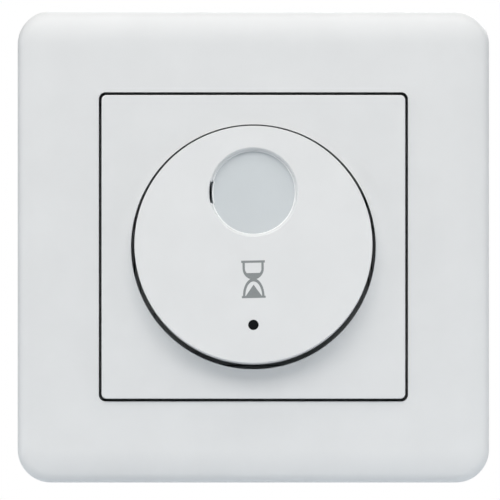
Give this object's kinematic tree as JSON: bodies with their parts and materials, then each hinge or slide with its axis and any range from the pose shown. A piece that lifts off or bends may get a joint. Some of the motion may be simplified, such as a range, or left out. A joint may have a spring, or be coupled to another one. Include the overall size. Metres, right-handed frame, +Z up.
{
  "type": "timer light switch",
  "caption": "Flush-mounted timer light switch: square cover frame, centre plate and a round tilting push button with a recessed window.",
  "frame": {"origin": "centre of the device in the plane of the wall, midway between the fixing slots", "axes": "+X to the right seen from the room, +Z up, -Y out of the wall towards the room, +Y into the wall box"},
  "size_m": [0.085, 0.0447, 0.085],
  "materials": {
    "white_moulding": "white moulded plastic, semi-gloss",
    "window_polycarbonate": "pale translucent moulding",
    "smoked_polycarbonate": "dark smoked moulding",
    "bright_steel": "bright drawn steel",
    "spring_steel": "drawn spring wire",
    "dark_polyamide": "dark grey moulded plastic",
    "clear_acrylic": "clear moulding",
    "zinc_plated_steel": "zinc plated",
    "circuit_board": "green lacquered laminate",
    "black_phenolic": "black moulded plastic",
    "white_acetal": "white moulded plastic",
    "lamp_body": "lamp package",
    "brass": "stamped",
    "relay_case": "blue-black moulded case",
    "film_capacitor_case": "yellow moulded case",
    "capacitor_can": "sleeved can",
    "varistor_coat": "blue dipped coating",
    "ferrite": "dark pressed ferrite",
    "nickel_plated_brass": "nickel plated",
    "grey_polyamide": "light grey moulded plastic"
  },
  "bodies": {
    "root": {"cover_frame": "white_moulding", "centre_plate": "white_moulding", "hinge_pins": "bright_steel", "return_spring": "spring_steel", "insert_cover": "dark_polyamide", "window_light_guide": "clear_acrylic", "support_strap": "zinc_plated_steel", "insert_screws": "zinc_plated_steel", "control_board": "circuit_board", "switch_body": "black_phenolic", "switch_cover": "bright_steel", "window_leds": "lamp_body", "indicator_led": "lamp_body", "controller_chip": "black_phenolic", "pin_header": "black_phenolic", "header_pins": "brass", "power_board": "circuit_board", "relay": "relay_case", "film_capacitor": "film_capacitor_case", "electrolytic_capacitors": "capacitor_can", "varistor": "varistor_coat", "fuse": "black_phenolic", "supply_choke": "ferrite", "terminal_bars": "brass", "terminal_cover": "grey_polyamide", "rear_housing": "grey_polyamide"},
    "push_button": {"button_disc": "white_moulding", "window_lens": "window_polycarbonate", "indicator_guide": "smoked_polycarbonate"},
    "plunger": {"switch_plunger": "white_acetal"},
    "terminal_screw_1": {"terminal_screw_1": "zinc_plated_steel"},
    "terminal_cage_1": {"terminal_cage_1": "nickel_plated_brass"},
    "terminal_screw_2": {"terminal_screw_2": "zinc_plated_steel"},
    "terminal_cage_2": {"terminal_cage_2": "nickel_plated_brass"},
    "terminal_screw_3": {"terminal_screw_3": "zinc_plated_steel"},
    "terminal_cage_3": {"terminal_cage_3": "nickel_plated_brass"},
    "terminal_screw_4": {"terminal_screw_4": "zinc_plated_steel"},
    "terminal_cage_4": {"terminal_cage_4": "nickel_plated_brass"}
  },
  "joints": [
    {"name": "button_press", "type": "hinge", "parent": "root", "child": "push_button", "pos_m": [0, -0.0062, 0.01351], "axis": [1, 0, 0], "range_deg": [0, 3.2], "stiffness_Nm_per_rad": 0.5, "springref_deg": -5.73, "deforming": ["return_spring"]},
    {"name": "plunger_slide", "type": "slide", "parent": "root", "child": "plunger", "axis": [0, 1, 0], "range_m": [0, 0.00088]},
    {"name": "screw_turn_1", "type": "hinge", "parent": "root", "child": "terminal_screw_1", "pos_m": [-0.01275, 0.0245, -0.02], "axis": [0, 0, 1], "range_deg": [0, 1501]},
    {"name": "cage_lift_1", "type": "slide", "parent": "root", "child": "terminal_cage_1", "axis": [0, 0, -1], "range_m": [0, 0.0025]},
    {"name": "screw_turn_2", "type": "hinge", "parent": "root", "child": "terminal_screw_2", "pos_m": [-0.00425, 0.0245, -0.02], "axis": [0, 0, 1], "range_deg": [0, 1501]},
    {"name": "cage_lift_2", "type": "slide", "parent": "root", "child": "terminal_cage_2", "axis": [0, 0, -1], "range_m": [0, 0.0025]},
    {"name": "screw_turn_3", "type": "hinge", "parent": "root", "child": "terminal_screw_3", "pos_m": [0.00425, 0.0245, -0.02], "axis": [0, 0, 1], "range_deg": [0, 1501]},
    {"name": "cage_lift_3", "type": "slide", "parent": "root", "child": "terminal_cage_3", "axis": [0, 0, -1], "range_m": [0, 0.0025]},
    {"name": "screw_turn_4", "type": "hinge", "parent": "root", "child": "terminal_screw_4", "pos_m": [0.01275, 0.0245, -0.02], "axis": [0, 0, 1], "range_deg": [0, 1501]},
    {"name": "cage_lift_4", "type": "slide", "parent": "root", "child": "terminal_cage_4", "axis": [0, 0, -1], "range_m": [0, 0.0025]}
  ],
  "couplings": [
    {"joint": "button_press", "follows": "plunger_slide", "rad_per_m": 63.46},
    {"joint": "screw_turn_1", "follows": "cage_lift_1", "rad_per_m": 10472},
    {"joint": "screw_turn_2", "follows": "cage_lift_2", "rad_per_m": 10472},
    {"joint": "screw_turn_3", "follows": "cage_lift_3", "rad_per_m": 10472},
    {"joint": "screw_turn_4", "follows": "cage_lift_4", "rad_per_m": 10472}
  ]
}
